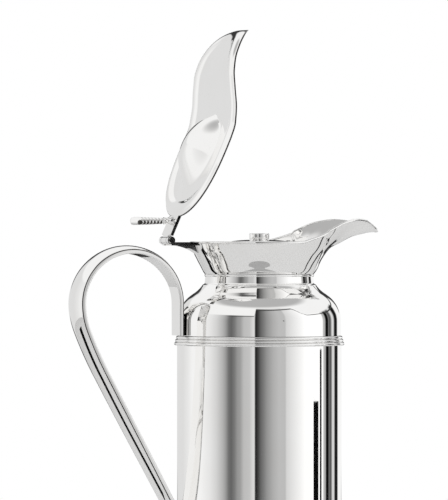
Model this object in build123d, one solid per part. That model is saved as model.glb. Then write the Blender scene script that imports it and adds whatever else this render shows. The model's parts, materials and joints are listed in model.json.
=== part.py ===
from build123d import *
import math
import os

# Insulated silver jug: a plated shell around a glass vacuum flask, with a strap handle, a hinged leaf-shaped
# lid and a screw stopper. Millimetres, +Z up. The origin is on the body axis at the foot's resting plane,
# the spout points along +X and the handle along -X.

os.makedirs("parts", exist_ok=True)

# --- driving dimensions ---
RIM_Z = 250.0            # height of the mouth's rim behind the spout
BODY_R = 55.0            # outside radius of the straight body
SHELL_T = 0.9            # thickness of the plated sheet
MOUTH_T = 1.2            # thickness of the mouth and spout casting
BAND_Z = 181.0           # underside of the reeded band
REED_PITCH = 2.1         # height of one reed
REED_OUT = (57.0, 56.4, 55.8)
SHELL_JOINT_Z = BAND_Z + REED_PITCH * len(REED_OUT) / 2
SHELL_JOINT_GAP = 0.3
SHOULDER_R = 54.6
NECK_R = 35.9
NECK_Z = 228.6           # joint between the shoulder and the mouth
RIM_R = 46.6
FOOT_H = 8.0
FOOT_R = 58.0
LID_OPEN = 66.5          # angle of the lid above its closed place, as it is stored
LID_GAP = 0.4            # space between the closed lid and the rim
LID_H = 3.8              # height of the lid's border
LID_T = 1.2              # thickness of the lid's sheet
LID_R = 50.0             # half the lid's width; the lid overhangs the rim a little
LID_BACK = 48.0          # reach of the lid behind the body axis
LID_POWER = 2.3          # squareness of the lid's back, 2 for an ellipse
LID_TIP_X = 86.6
LID_BORDER = 12.2        # width of the lid's raised border
LID_FIELD = 2.0          # height of the recessed field's top above the lid's underside
DOME_R = 27.0            # radius of the lid's round dome where it meets the field
DOME_H = 13.6
PIN_X = -64.6            # hinge pin, along Y
PIN_Z = 251.0
PIN_R = 1.2
PIN_FIT = 0.05           # running clearance of the lid's knuckle on the pin
KNUCKLE_R = 2.6
HINGE_W = 20.0
KNUCKLE_W = 11.0         # width of the lid's middle knuckle
FLASK_R = 47.5           # outside radius of the glass flask
FLASK_Z = 24.0
FLASK_SHOULDER_Z = 178.0
FLASK_NECK_R = 22.0
FLASK_LIP_Z = 228.0
FLASK_BORE_R = 17.5
GLASS_T = 1.6
VACUUM_GAP = 3.4
STOPPER_R = 16.2         # radius of the stopper's threaded plug
CAP_R = 21.0             # radius of the stopper's silver cap
KNOB_R = 6.7
KNOB_TOP = RIM_Z + 5.8
HANDLE_T = 2.8           # thickness of the handle strap at its edges
HANDLE_STATIONS = 30
SOLDER_GAP = 0.02
BRACKET_T = 2.2
BRACKET_TOP = RIM_Z - 0.2
BRACKET_NEAR = -44.0     # where the bracket meets the mouth
GUSSET_DROP = 5.5
LEAF_T = 2.0
LEAF_Z = RIM_Z + LID_GAP + 0.7
KNUCKLE_GAP = 0.3        # side play between the knuckles
KNUCKLE_CLEAR = 0.6
PIN_HEAD_R = 1.9
PIN_HEAD_T = 0.9
THUMB_X = -51.3
THUMB_LEAN = -24.0       # how far the thumbpiece leans back
THUMB_BEADS = 6
THUMB_PITCH = 2.9
THUMB_LOW = 9.8          # height of the lowest gadroon above the thumbpiece's foot
THUMB_TILT = 24.0        # how far each gadroon slants across the thumbpiece
LIP_T = 1.6              # rolled lip that joins the flask's two glass walls
INNER_R = FLASK_R - GLASS_T - VACUUM_GAP
INNER_NECK_R = FLASK_BORE_R + GLASS_T
BASE_CAP_LOW = 5.0
BASE_CAP_TOP = 11.0
BASE_FLANGE_R = 50.6
THREAD_R = 48.0
COLLAR_BORE_R = 16.9
COLLAR_TOP = 244.4
GASKET_T = 1.2
SEAL_T = 1.6
SEAL_FIT = 0.05
STUD_R = 2.0
STUD_LOW = 236.0
CAP_EDGE_Z = COLLAR_TOP + SEAL_T + 0.8
CAP_SIDE_Z = RIM_Z - 0.8
CAP_TOP = RIM_Z + 1.6
CAP_T = 1.0

# The mouth's top edge, level behind and rising to a crest over the spout: places along X with heights above
# the rim.
EDGE = [
    (8.0, 0.0), (30.0, 4.3), (40.5, 9.0), (52.4, 13.4), (62.0, 14.6), (70.0, 13.6), (76.0, 11.0), (82.0, 8.0),
    (90.0, 4.0)]
# The lid follows that edge, and then curls down in front of the spout's tip.
LID_EDGE = [
    (8.0, 0.0), (30.0, 4.3), (40.5, 9.0), (52.4, 13.4), (62.0, 14.6), (70.0, 13.8), (76.0, 12.2), (81.0, 9.8),
    (84.4, 7.0), (88.0, 1.5)]
# The spout's keel, from the neck out to the tip.
KEEL = [
    (34.0, -19.4), (38.2, -18.9), (40.2, -13.2), (43.6, -8.6), (48.0, -3.9), (55.8, -0.3), (65.7, 4.1),
    (78.0, 6.7), (86.0, 7.1)]
# Half the spout's width at its top edge.
SPOUT_W = [(34.0, 37.6), (43.0, 36.0), (50.0, 33.2), (60.0, 27.6), (70.0, 19.6), (78.0, 11.2), (86.0, 1.4)]
# Half the lid's width, from beside its dome to just short of its round tip.
LEAF_SIDE = [
    (24.0, 47.9), (36.0, 45.7), (48.0, 42.4), (58.0, 38.4), (66.0, 34.2), (72.0, 30.2), (77.0, 25.6),
    (81.0, 20.0), (84.2, 12.8)]
# The mouth's funnel as (radius, height), from the neck up past the rim.
FUNNEL = [
    (36.6, NECK_Z), (37.4, 229.8), (39.4, 233.6), (41.9, 238.4), (44.2, 243.2), (RIM_R, RIM_Z), (49.6, 258.0),
    (53.0, 267.0)]
SPOUT_STATIONS = (26.0, 34.0, 39.0, 44.0, 50.0, 58.0, 67.0, 76.0, 83.0, 88.0)
SPOUT_STEPS = (-1.16, -0.9, -0.62, -0.32, 0.0, 0.32, 0.62, 0.9, 1.16)


def between(table, x):
    """A height or width read from a list of places, straight between neighbours."""
    for (x0, y0), (x1, y1) in zip(table[:-1], table[1:]):
        if x <= x1:
            return y0 + (y1 - y0) * max(0.0, (x - x0)) / (x1 - x0)
    return table[-1][1]


def save(node, shape):
    export_step(shape, f"parts/{node}.step")


def turned(points):
    """A solid of revolution about Z from a closed outline of (radius, height) points."""
    outline = Polyline(*[(r, 0, z) for r, z in points], close=True)
    return revolve(make_face(outline), Axis.Z, 360)


def turned_wires(*edges):
    return revolve(make_face(Wire(list(edges))), Axis.Z, 360)


def disc(radius, low, high):
    return Pos(0, 0, low) * Cylinder(radius, high - low, align=(Align.CENTER, Align.CENTER, Align.MIN))


def tube(outer, inner, low, high):
    """A ring about Z, or a plain disc where inner is 0."""
    body = disc(outer, low, high)
    if inner > 0:
        body -= disc(inner, low - 1, high + 1)
    return body


def bar_y(radius, width, x, z, y=0.0):
    return Pos(x, y, z) * Rot(90, 0, 0) * Cylinder(radius, width)


# --- shell of the body ---
def make_body_shell():
    return tube(BODY_R, BODY_R - SHELL_T, FOOT_H, SHELL_JOINT_Z)


def shoulder_curve(inset):
    """The shoulder's section from the band up to the neck: a wall, a round shoulder, a cove and the neck."""
    wall = SHOULDER_R - inset
    neck = NECK_R - inset
    low = SHELL_JOINT_Z + SHELL_JOINT_GAP
    start = Line((wall, 0, low), (wall, 0, 196.0))
    curve = Spline(
        (wall, 0, 196.0), (53.7 - inset, 0, 203.2 - inset / 2), (48.5 - inset, 0, 211.9 - inset),
        (42.4 - inset, 0, 216.6 - inset), (38.0 - inset, 0, 222.4), (neck, 0, NECK_Z),
        tangents=[(0, 0, 1), (-0.12, 0, 1)])
    return start, curve


def make_shoulder_shell():
    outer = shoulder_curve(0.0)
    inner = shoulder_curve(SHELL_T)
    top = Line(outer[1] @ 1, inner[1] @ 1)
    bottom = Line(outer[0] @ 0, inner[0] @ 0)
    return turned_wires(*outer, top, *inner, bottom)


def reed_edges(start, outs, low, pitch):
    """Half-round reeds stacked up from low, as edges that begin at start, and the point where they end."""
    edges = []
    last = start
    for number, out in enumerate(outs):
        z = low + pitch * number
        root = out - pitch / 2
        edges.append(Line(last, (root, 0, z)))
        edges.append(ThreePointArc((root, 0, z), (out, 0, z + pitch / 2), (root, 0, z + pitch)))
        last = (root, 0, z + pitch)
    return edges, last


def make_reeded_band():
    """Three reeds that cover the joint between the body and the narrower shoulder."""
    body, shoulder = BODY_R + SOLDER_GAP, SHOULDER_R + SOLDER_GAP
    step = SHELL_JOINT_Z + SHELL_JOINT_GAP / 2
    edges, head = reed_edges((body, 0, BAND_Z), REED_OUT, BAND_Z, REED_PITCH)
    rest = Polyline(head, (shoulder, 0, head[2]), (shoulder, 0, step), (body, 0, step), (body, 0, BAND_Z))
    return turned_wires(*edges, *rest.edges())


# --- mouth, spout and rim ---
CUT_FAR = 300.0          # reach of the blocks that trim a shape along an edge profile
CUT_HALF = 80.0


def edge_block(edge, offset, far, end_slope):
    """A block below (far < 0) or above (far > 0) an edge profile raised by offset."""
    z = RIM_Z + offset
    back, front = -120.0, 130.0
    start, end = edge[0][0], edge[-1]
    level = Line((back, 0, z), (start, 0, z))
    points = [(x, 0, z + h) for x, h in edge]
    rise = Spline(*points, tangents=[(1, 0, 0), (1, 0, end_slope)])
    rest = Polyline(
        (end[0], 0, z + end[1]), (front, 0, z - 20), (front, 0, z + far), (back, 0, z + far), (back, 0, z))
    return extrude(make_face(Wire([level, rise, *rest.edges()])), CUT_HALF, both=True)


def under_edge(offset):
    return edge_block(EDGE, offset, -CUT_FAR, -0.6)


def under_lid(offset):
    return edge_block(LID_EDGE, offset, -CUT_FAR, -1.7)


def over_lid(offset):
    return edge_block(LID_EDGE, offset, CUT_FAR, -1.7)


def funnel(inset):
    (neck, low), (wide, high) = FUNNEL[0], FUNNEL[-1]
    side = Spline(*[(r - inset, 0, z) for r, z in FUNNEL])
    rest = Polyline((wide - inset, 0, high), (0, 0, high), (0, 0, low), (neck - inset, 0, low))
    return revolve(make_face(Wire([side, *rest.edges()])), Axis.Z, 360)


def spout_section(x, inset):
    """A cross-section of the spout at x: a rounded keel with sides that rise past the top edge."""
    keel = RIM_Z + between(KEEL, x + inset * 0.9) + inset * 0.9
    width = between(SPOUT_W, x) - inset
    top = RIM_Z + between(EDGE, x)
    power = 2.3 - 0.8 * min(1.0, max(0.0, (x - 34.0) / 40.0))
    points = []
    for step in SPOUT_STEPS:
        points.append((x, step * width, keel + max(top - keel, 1.0) * abs(step) ** power))
    return make_face(Wire([Spline(*points), Line(points[-1], points[0])]))


def spout(inset):
    return loft([spout_section(x, inset) for x in SPOUT_STATIONS])


def make_mouth_spout():
    outer = funnel(0.0) + spout(0.0)
    inner = funnel(MOUTH_T) + spout(MOUTH_T)
    floor = disc(FUNNEL[0][0] - MOUTH_T, NECK_Z - 2.5, NECK_Z + 0.5)
    return (outer - inner - floor) & under_edge(0.0)


def make_neck_bead():
    ring = Pos(0, 0, NECK_Z - 0.85) * Torus(NECK_R + 0.75, 0.75)
    return ring - make_shoulder_shell() - tube(NECK_R - 0.4, 0, NECK_Z - 4, NECK_Z + 4)


# --- lid: built closed, then turned up about the pin to its stored place ---
def opened(shape):
    pin = Axis((PIN_X, 0, PIN_Z), (0, 1, 0))
    return shape.rotate(pin, -LID_OPEN)


def leaf_back(inset):
    """Points round the back of the lid's plan, from +Y to -Y."""
    wide, deep = LID_R - inset, LID_BACK - inset
    points = []
    for step in range(1, 12):
        turn = math.pi * step / 12
        along = math.sin(turn) ** (2 / LID_POWER)
        across = abs(math.cos(turn)) ** (2 / LID_POWER)
        points.append((-deep * along, wide * math.copysign(across, math.cos(turn))))
    return points


def leaf_outline(inset):
    """The lid's plan: round behind, drawn out to a blunt point over the spout."""
    r = LID_R - inset
    tip = LID_TIP_X - 1.15 * inset
    start = LEAF_SIDE[0][0]
    shrink = (tip - start) / (LID_TIP_X - start)
    right = [((x - start) * shrink + start, w * r / LID_R) for x, w in LEAF_SIDE]
    left = [(x, -w) for x, w in reversed(right)]
    upper = Spline((0, r), *right, (tip, 0), tangents=[(1, 0), (0.1, -1)])
    lower = Spline((tip, 0), *left, (0, -r), tangents=[(-0.1, -1), (-1, 0)])
    back = Spline((0, r), *leaf_back(inset), (0, -r), tangents=[(-1, 0), (1, 0)])
    return make_face(Wire([upper, lower, back]))


def leaf_prism(inset):
    return Pos(0, 0, RIM_Z - 20) * extrude(leaf_outline(inset), 70)


def leaf_block(inset, low, high):
    """The leaf's plan cut between two heights above the lid's edge profile."""
    return leaf_prism(inset) & under_lid(high) & over_lid(low)


def dome_cap(radius, height, base):
    ball = (radius ** 2 + height ** 2) / (2 * height)
    cap = Pos(0, 0, base + height - ball) * Sphere(ball)
    return cap & disc(radius + 4, base - 0.6, base + height + 1.4)


def make_lid_plate():
    """The lid's sheet: a raised border folded down at its edge, a sunk field and a round dome."""
    low = LID_GAP
    field_top = low + LID_FIELD
    plate = leaf_block(0.0, low, low + LID_H) - leaf_block(LID_BORDER, field_top, low + LID_H + 5)
    under_border = leaf_block(LID_T, low - 5, low + LID_H - LID_T)
    plate -= under_border - leaf_block(LID_BORDER - LID_T, low - 6, low + LID_H)
    plate -= leaf_block(LID_BORDER, low - 5, field_top - LID_T)
    base = RIM_Z + field_top
    plate -= disc(DOME_R - LID_T, base - LID_T - 2, base + 5)
    dome = dome_cap(DOME_R, DOME_H, base) - dome_cap(DOME_R - LID_T, DOME_H - LID_T, base - 0.3)
    return plate + (dome - disc(DOME_R + 8, base - 8, base - LID_T + 0.2))


# --- hinge and thumbpiece ---
def make_hinge_bracket():
    """The fixed leaf: a plate behind the rim with a knuckle at each side and a curved gusset under it."""
    under = BRACKET_TOP - BRACKET_T
    middle = (BRACKET_TOP + under) / 2
    far = PIN_X + 4.0
    bracket = Pos((BRACKET_NEAR + far) / 2, 0, middle) * Box(BRACKET_NEAR - far, HINGE_W, BRACKET_T)
    side = (HINGE_W - KNUCKLE_W) / 2 - KNUCKLE_GAP
    for sign in (-1, 1):
        y = sign * (HINGE_W - side) / 2
        bracket += bar_y(KNUCKLE_R, side, PIN_X, PIN_Z, y)
        bracket += Pos(PIN_X + 2.5, y, middle) * Box(5.0, side, BRACKET_T)
    start = (PIN_X + 5.0, 0, under)
    foot = (BRACKET_NEAR, 0, under - GUSSET_DROP)
    curve = Wire([
        ThreePointArc(start, (-51.5, 0, under - 1.5), foot),
        Line(foot, (BRACKET_NEAR, 0, under)),
        Line((BRACKET_NEAR, 0, under), start)])
    bracket += extrude(make_face(curve), HINGE_W / 4, both=True)
    bracket -= bar_y(PIN_R, HINGE_W + 4, PIN_X, PIN_Z)
    return bracket - funnel(0.0)


def make_hinge_pin():
    pin = bar_y(PIN_R, HINGE_W, PIN_X, PIN_Z)
    for sign in (-1, 1):
        pin += bar_y(PIN_HEAD_R, PIN_HEAD_T, PIN_X, PIN_Z, sign * (HINGE_W + PIN_HEAD_T) / 2)
    return pin


def make_lid_leaf():
    """The lid's moving leaf: a middle knuckle and a plate soldered to the lid's back edge."""
    clear = KNUCKLE_R + KNUCKLE_CLEAR
    width = KNUCKLE_W - KNUCKLE_GAP
    middle = LEAF_Z + LEAF_T / 2
    leaf = bar_y(KNUCKLE_R, width, PIN_X, PIN_Z)
    leaf += Pos(PIN_X + clear / 2 + 0.5, 0, middle) * Box(clear + 1.0, width, LEAF_T)
    far, near = PIN_X + clear, 1.0 - LID_BACK
    leaf += Pos((far + near) / 2, 0, middle) * Box(near - far, HINGE_W, LEAF_T)
    leaf -= bar_y(PIN_R + PIN_FIT, HINGE_W + 4, PIN_X, PIN_Z)
    return leaf - leaf_prism(0.0)


def make_thumbpiece():
    """A gadrooned bar that stands up and back from the lid's leaf."""
    bar = Pos(0, 0, 1.2) * Box(5.0, 8.6, 2.4)
    bar += Pos(0, 0, 7.0) * Box(2.4, 6.4, 14.0)
    bar += Pos(0, 0, 4.6) * Box(4.4, 8.0, 1.8)
    for bead in range(THUMB_BEADS):
        share = bead / (THUMB_BEADS - 1)
        radius = 1.75 + 0.65 * share
        width = 8.4 + 6.2 * share
        height = THUMB_LOW + THUMB_PITCH * bead
        bar += Pos(0, 0, height) * Rot(90 - THUMB_TILT, 0, 0) * Cylinder(radius, width)
    web = THUMB_PITCH * (THUMB_BEADS - 1)
    bar += Pos(0, 0, THUMB_LOW + web / 2) * Box(2.0, 9.4, web)
    standing = Location((THUMB_X, 0, LEAF_Z + LEAF_T), (0, THUMB_LEAN, 0)) * bar
    return standing - Pos(PIN_X, 0, LEAF_Z + LEAF_T - 10) * Box(60, 40, 20)


# --- handle: a strap along a route of tangent lines and arcs in the XZ plane ---
HANDLE_START = (-55.8, 187.8)
# Each move is a straight run (length, 0) or an arc (radius, degrees turned to the left).
HANDLE_MOVES = [
    (21.2, 0.0), (36.1, 90.0), (36.0, 90.0), (50.0, 21.0), (260.0, 7.2), (98.0, 0.0), (64.6, -28.2),
    (11.0, 0.0)]
# Distance along the strap with half its width, and with the crown of its outer face.
HANDLE_HALF = [
    (0, 9.2), (28, 9.6), (60, 12.4), (95, 15.2), (140, 16.4), (190, 15.8), (240, 14.8), (290, 13.4),
    (345, 11.0)]
HANDLE_CROWN = [(0, 1.8), (28, 1.6), (60, 2.2), (95, 2.8), (200, 2.8), (285, 1.8), (345, 1.0)]


def handle_route():
    """The route's edges, with the distance and heading at the start of each."""
    x, z = HANDLE_START
    heading = 90.0
    run = 0.0
    spans = []
    for size, turn in HANDLE_MOVES:
        a = math.radians(heading)
        if turn == 0.0:
            end = (x + size * math.cos(a), z + size * math.sin(a))
            edge = Line((x, 0, z), (end[0], 0, end[1]))
            length = size
        else:
            sign = math.copysign(1.0, turn)
            reach = sign * size
            points = []
            for share in (0.5, 1.0):
                b = a + math.radians(turn * share)
                points.append((
                    x + reach * (math.sin(b) - math.sin(a)), 0, z - reach * (math.cos(b) - math.cos(a))))
            edge = ThreePointArc((x, 0, z), points[0], points[1])
            end = (points[1][0], points[1][2])
            length = size * math.radians(abs(turn))
        spans.append((edge, run, length, size, turn, heading, (x, z)))
        x, z = end
        heading += turn
        run += length
    return spans


def handle_place(spans, run):
    """The point and heading at a distance along the route."""
    for edge, start, length, size, turn, heading, (x, z) in spans:
        if run <= start + length + 1e-6:
            break
    share = min(1.0, (run - start) / length)
    point = edge @ share
    return point, math.radians(heading + turn * share)


def make_handle_strap():
    spans = handle_route()
    total = spans[-1][1] + spans[-1][2]
    sections = []
    for station in range(HANDLE_STATIONS + 1):
        run = total * station / HANDLE_STATIONS
        half = between(HANDLE_HALF, run)
        point, heading = handle_place(spans, run)
        plane = Plane(origin=point, x_dir=(0, 1, 0), z_dir=(math.cos(heading), 0, math.sin(heading)))
        outline = Wire([
            ThreePointArc((-half, 0), (0, -between(HANDLE_CROWN, run)), (half, 0)),
            Line((half, 0), (half, HANDLE_T)),
            Line((half, HANDLE_T), (-half, HANDLE_T)),
            Line((-half, HANDLE_T), (-half, 0))])
        sections.append(plane * make_face(outline))
    strap = loft(sections)
    strap -= tube(BODY_R, 0, 0, BAND_Z)
    strap -= tube(SHOULDER_R, 0, BAND_Z, RIM_Z)
    return strap


# --- glass flask and what holds it ---
def flask_profile(radius, bottom, neck, shoulder, top):
    """A flask wall's outline from the axis round the base, up the side and in to the neck."""
    wall = bottom + radius * 0.55
    root = shoulder + radius * 0.62
    return [
        ThreePointArc((0, 0, bottom), (radius * 0.72, 0, bottom + radius * 0.17), (radius, 0, wall)),
        Line((radius, 0, wall), (radius, 0, shoulder)),
        Spline(
            (radius, 0, shoulder), (radius * 0.8, 0, shoulder + radius * 0.42), (neck, 0, root),
            tangents=[(0, 0, 1), (-0.35, 0, 1)]),
        Line((neck, 0, root), (neck, 0, top))]


def flask_solid(radius, bottom, neck, shoulder, top):
    edges = flask_profile(radius, bottom, neck, shoulder, top)
    edges.append(Line((neck, 0, top), (0, 0, top)))
    edges.append(Line((0, 0, top), (0, 0, bottom)))
    return revolve(make_face(Wire(edges)), Axis.Z, 360)


def outer_glass_solid():
    return flask_solid(FLASK_R, FLASK_Z, FLASK_NECK_R, FLASK_SHOULDER_Z, FLASK_LIP_Z - LIP_T)


def make_flask_outer_glass():
    radius, neck, bottom = FLASK_R - GLASS_T, FLASK_NECK_R - GLASS_T, FLASK_Z + GLASS_T
    return outer_glass_solid() - flask_solid(radius, bottom, neck, FLASK_SHOULDER_Z, FLASK_LIP_Z + 5)


def make_flask_inner_glass():
    """The wall that holds the water, with the lip where it is rolled out to the outer wall."""
    bottom = FLASK_Z + GLASS_T + VACUUM_GAP
    shoulder = FLASK_SHOULDER_Z - 3
    glass = flask_solid(INNER_R, bottom, INNER_NECK_R, shoulder, FLASK_LIP_Z)
    glass += disc(FLASK_NECK_R, FLASK_LIP_Z - LIP_T, FLASK_LIP_Z)
    return glass - flask_solid(INNER_R - GLASS_T, bottom + GLASS_T, FLASK_BORE_R, shoulder, FLASK_LIP_Z + 5)


def make_flask_spacers():
    """Three small pads that hold the two glass walls apart."""
    pad = Pos(INNER_R + VACUUM_GAP / 2, 0, 70) * Rot(0, 90, 0) * Cylinder(5, VACUUM_GAP + 1)
    pads = Compound(children=[Rot(0, 0, 120 * turn) * pad for turn in range(3)])
    return pads & tube(FLASK_R - GLASS_T, INNER_R, 60, 80)


def make_flask_cushion():
    """A rubber cup under the flask, shaped to its round bottom."""
    return tube(26.0, 8.0, BASE_CAP_TOP, FLASK_Z + 4) - outer_glass_solid()


def make_neck_cushion():
    """A rubber ring that centres the flask's neck in the shoulder."""
    return tube(36.6, FLASK_NECK_R, 213.6, 221.0)


# --- pouring collar and stopper ---
def make_neck_gasket():
    return tube(FLASK_NECK_R, FLASK_BORE_R, FLASK_LIP_Z, FLASK_LIP_Z + GASKET_T)


def make_pour_collar():
    """The moulded insert that presses on the flask's lip; its top slopes out towards the spout."""
    low = FLASK_LIP_Z + GASKET_T
    return turned([
        (COLLAR_BORE_R, low), (COLLAR_BORE_R, COLLAR_TOP), (19.9, COLLAR_TOP), (29.0, 240.6), (37.4, 237.2),
        (36.9, 234.6), (34.9, 230.4), (34.9, 224.0), (24.0, 224.0), (24.0, low)])


def make_stopper_plug():
    plug = disc(STOPPER_R, 219.0, COLLAR_TOP + SEAL_T)
    plug += disc(CAP_R - CAP_T - 0.4, COLLAR_TOP + SEAL_T, RIM_Z - 2.0)
    plug -= disc(12.6, 218.0, STUD_LOW + 4.0)
    return plug - disc(STUD_R, 230.0, RIM_Z)


def make_stopper_seal():
    return tube(19.4, STOPPER_R + 0.06, COLLAR_TOP + SEAL_FIT, COLLAR_TOP + SEAL_T - SEAL_FIT)


def cap_solid(inset, low):
    """The stopper cap's outline filled from low up, or its hollow where inset is its thickness."""
    radius = CAP_R - inset
    side = CAP_SIDE_Z - inset
    rise = CAP_TOP - CAP_SIDE_Z
    edges = [
        Line((0, 0, low), (radius, 0, low)),
        Line((radius, 0, low), (radius, 0, side)),
        ThreePointArc((radius, 0, side), (radius * 0.58, 0, side + rise * 0.72), (0, 0, side + rise)),
        Line((0, 0, side + rise), (0, 0, low))]
    return turned_wires(*edges)


def make_stopper_cap():
    cap = cap_solid(0.0, CAP_EDGE_Z) - cap_solid(CAP_T, CAP_EDGE_Z - 5)
    return cap - disc(STUD_R, CAP_SIDE_Z - 4, KNOB_TOP)


def make_stopper_knob():
    """A turned button on a short foot, with rounded edges."""
    low = CAP_TOP - 0.15
    seat = KNOB_TOP - 0.6
    knob = turned([
        (STUD_R, low), (5.9, low), (5.9, low + 0.5), (KNOB_R - 0.4, low + 0.7), (KNOB_R, low + 1.1),
        (KNOB_R, KNOB_TOP - 0.5), (KNOB_R - 0.5, KNOB_TOP - 0.15), (3.0, KNOB_TOP), (0, KNOB_TOP), (0, seat),
        (STUD_R, seat)])
    return knob - cap_solid(0.0, CAP_EDGE_Z)


def make_stopper_stud():
    return disc(STUD_R, STUD_LOW, KNOB_TOP - 0.6) + disc(5.0, STUD_LOW, STUD_LOW + 4.0)


# --- foot and base ---
def make_foot_ring():
    bore = 52.0
    pitch = FOOT_H / 3
    outs = (FOOT_R, FOOT_R - 0.5, FOOT_R - 1.0)
    edges, head = reed_edges((bore, 0, 0), outs, 0.0, pitch)
    rest = Polyline(head, (bore, 0, FOOT_H), (bore, 0, 0))
    return turned_wires(*edges, *rest.edges())


def make_base_thread_ring():
    return tube(BODY_R - SHELL_T, THREAD_R + 0.4, FOOT_H, FOOT_H + 9.0)


def make_base_cap():
    """A screw cap with a finger bar across its recessed face."""
    cap = disc(THREAD_R, BASE_CAP_LOW, BASE_CAP_TOP - 0.2)
    cap += tube(THREAD_R, THREAD_R - 4, BASE_CAP_LOW, FOOT_H + 6.0)
    cap += tube(BASE_FLANGE_R, THREAD_R - 4, 4.2, 6.4)
    cap -= disc(36.0, 0, 8.6)
    cap += Pos(0, 0, 6.7) * Box(72.6, 8.0, 4.2)
    return cap


def make_base_gasket():
    return tube(BASE_FLANGE_R + 1.0, THREAD_R + 0.06, 6.4 + SEAL_FIT, FOOT_H - SEAL_FIT)


NODES = {
    "body_shell": make_body_shell,
    "shoulder_shell": make_shoulder_shell,
    "reeded_band": make_reeded_band,
    "neck_bead": make_neck_bead,
    "mouth_spout": make_mouth_spout,
    "handle_strap": make_handle_strap,
    "hinge_bracket": make_hinge_bracket,
    "hinge_pin": make_hinge_pin,
    "foot_ring": make_foot_ring,
    "base_thread_ring": make_base_thread_ring,
    "flask_outer_glass": make_flask_outer_glass,
    "flask_inner_glass": make_flask_inner_glass,
    "flask_spacers": make_flask_spacers,
    "flask_cushion": make_flask_cushion,
    "neck_cushion": make_neck_cushion,
    "neck_gasket": make_neck_gasket,
    "pour_collar": make_pour_collar,
    "stopper_seal": make_stopper_seal,
    "stopper_plug": make_stopper_plug,
    "stopper_cap": make_stopper_cap,
    "stopper_knob": make_stopper_knob,
    "stopper_stud": make_stopper_stud,
    "base_gasket": make_base_gasket,
    "base_cap": make_base_cap,
}
LID_NODES = {
    "lid_plate": make_lid_plate,
    "lid_leaf": make_lid_leaf,
    "thumbpiece": make_thumbpiece,
}

for node, make in NODES.items():
    save(node, make())
for node, make in LID_NODES.items():
    save(node, opened(make()))
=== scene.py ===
import json
import math

import bmesh
import bpy
import numpy as np
from mathutils import Matrix, Vector


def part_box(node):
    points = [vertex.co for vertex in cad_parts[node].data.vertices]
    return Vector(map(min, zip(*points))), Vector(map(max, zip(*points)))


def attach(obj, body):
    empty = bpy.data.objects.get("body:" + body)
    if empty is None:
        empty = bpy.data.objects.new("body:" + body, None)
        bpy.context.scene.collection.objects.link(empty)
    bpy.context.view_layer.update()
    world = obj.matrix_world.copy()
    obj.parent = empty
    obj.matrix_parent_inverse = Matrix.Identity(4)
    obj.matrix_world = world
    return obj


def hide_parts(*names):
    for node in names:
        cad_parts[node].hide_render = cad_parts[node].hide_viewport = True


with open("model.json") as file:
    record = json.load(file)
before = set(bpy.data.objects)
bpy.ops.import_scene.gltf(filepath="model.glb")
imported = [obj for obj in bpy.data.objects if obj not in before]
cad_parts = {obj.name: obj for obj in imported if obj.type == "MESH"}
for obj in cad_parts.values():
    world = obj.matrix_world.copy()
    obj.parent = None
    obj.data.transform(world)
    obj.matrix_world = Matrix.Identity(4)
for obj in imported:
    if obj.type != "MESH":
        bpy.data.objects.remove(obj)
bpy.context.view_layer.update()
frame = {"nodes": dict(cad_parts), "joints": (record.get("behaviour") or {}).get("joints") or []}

# Insulated silver jug. Shapes are worked out in millimetres in the CAD's frame, and scaled to metres when a
# mesh is made. The jug's axis is Z, the spout points along +X and the hinge and handle stand at -X.
MM = 0.001


def node_box(node):
    """A CAD node's lowest and highest corners at rest, in millimetres."""
    low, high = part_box(node)
    return Vector(low) / MM, Vector(high) / MM


# --- sizes taken from the frame ---
BODY_R = node_box("body_shell")[1].x
BODY_LOW = node_box("body_shell")[0].z
BAND_LOW = node_box("reeded_band")[0].z
BAND_HIGH = node_box("reeded_band")[1].z
BAND_R = node_box("reeded_band")[1].x
SHOULDER_R = node_box("shoulder_shell")[1].x
NECK_Z = node_box("mouth_spout")[0].z
RIM_R = -node_box("mouth_spout")[0].x
FOOT_R = node_box("foot_ring")[1].x
FOOT_H = node_box("foot_ring")[1].z
CAP_R = node_box("stopper_cap")[1].x
CAP_LOW = node_box("stopper_cap")[0].z
CAP_TOP = node_box("stopper_cap")[1].z
KNOB_R = node_box("stopper_knob")[1].x
KNOB_TOP = node_box("stopper_knob")[1].z
HINGE = next(joint for joint in frame["joints"] if joint["name"] == "lid_hinge")
PIN_X = HINGE["pos_m"][0] / MM
PIN_Z = HINGE["pos_m"][2] / MM
LID_OPEN = -math.radians(HINGE["range_deg"][0])
PIN_RISE = 1.0  # the pin's middle above the rim
RIM_Z = PIN_Z - PIN_RISE
REEDS = 3
REED_PITCH = (BAND_HIGH - BAND_LOW) / REEDS

# --- sizes that the shapes share, in millimetres ---
SHELL_T = 0.9  # sheet of the body and shoulder
MOUTH_T = 1.2  # wall of the mouth casting
NECK_R = 35.9
LID_GAP = 0.4  # between the rim and the closed lid
LID_H = 3.8  # from the lid's underside to the top of its border
LID_T = 1.2  # sheet of the lid
LID_R = 50.0  # half width of the lid
LID_BACK = 48.0  # from the jug's axis to the lid's back
LID_POWER = 2.3  # squareness of the lid's back, 2 for an ellipse
LID_TIP_X = 86.6
LID_FIELD = 2.0  # height of the sunk field above the lid's underside
DOME_R = 27.0
DOME_H = 13.6
HAIR = 0.02  # keeps a seam off the face behind it, and a taper off a point


# --- mesh helpers ---
WELD = 1e-4  # points nearer than this are one point
TURNS = 288  # steps round a turned piece


def add_object(name, mesh):
    piece = bpy.data.objects.new(name, mesh)
    bpy.context.scene.collection.objects.link(piece)
    return piece


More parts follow.
